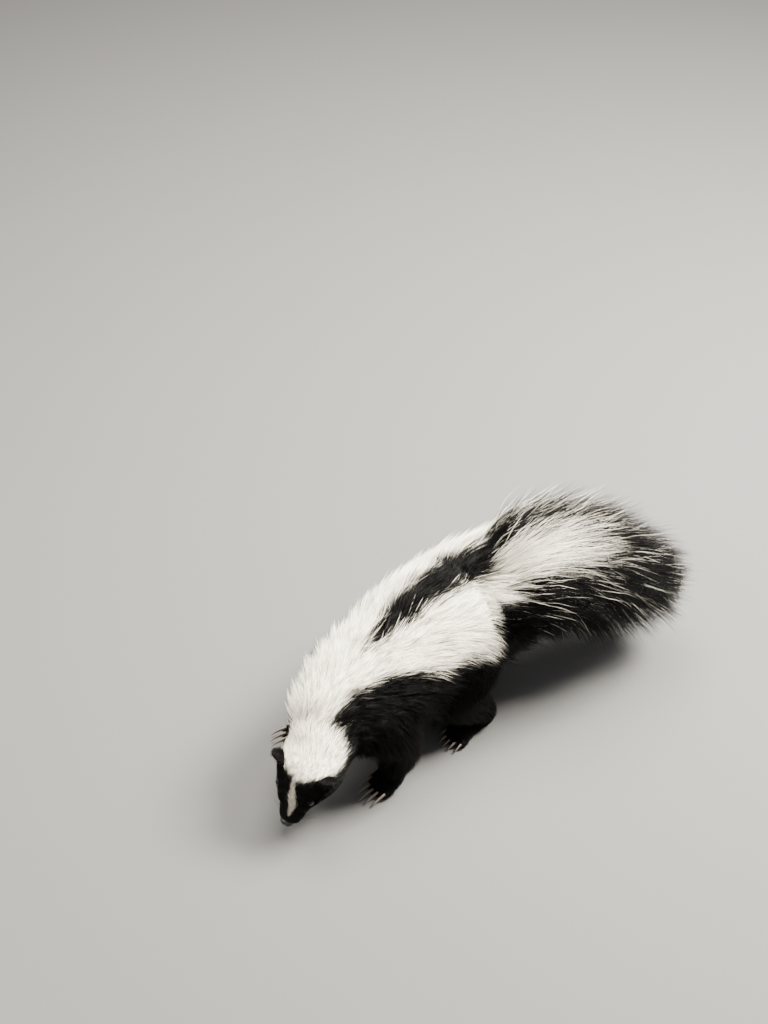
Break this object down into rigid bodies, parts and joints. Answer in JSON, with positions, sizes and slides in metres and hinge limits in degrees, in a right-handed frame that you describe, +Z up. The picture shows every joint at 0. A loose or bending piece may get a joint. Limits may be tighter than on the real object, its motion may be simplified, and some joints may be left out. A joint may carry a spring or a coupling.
{
  "type": "striped skunk model",
  "caption": "Life-size still model of a striped skunk walking nose down with its long coat and bushy tail, divided into head, neck, torso, tail, legs and paws",
  "frame": {"origin": "on the floor under the middle of the whole model's bounding box", "axes": "+X is the way the trunk faces, +Y is the animal's left, +Z is up"},
  "size_m": [0.5082, 0.2032, 0.2011],
  "materials": {
    "black_fur": "soft black coat",
    "white_fur": "soft cream-white coat",
    "mixed_fur": "long black and cream-white coat",
    "eye": "wet dark eye",
    "nose_skin": "bare moist dark skin"
  },
  "bodies": {
    "root": {"head": "black_fur", "ear_left": "black_fur", "ear_right": "black_fur", "eye_left": "eye", "eye_right": "eye", "nose": "nose_skin", "neck": "white_fur", "torso": "black_fur", "tail": "mixed_fur", "leg_front_left": "black_fur", "leg_front_right": "black_fur", "leg_hind_left": "black_fur", "leg_hind_right": "black_fur", "paw_front_left": "black_fur", "paw_front_right": "black_fur", "paw_hind_left": "black_fur", "paw_hind_right": "black_fur"}
  },
  "joints": []
}
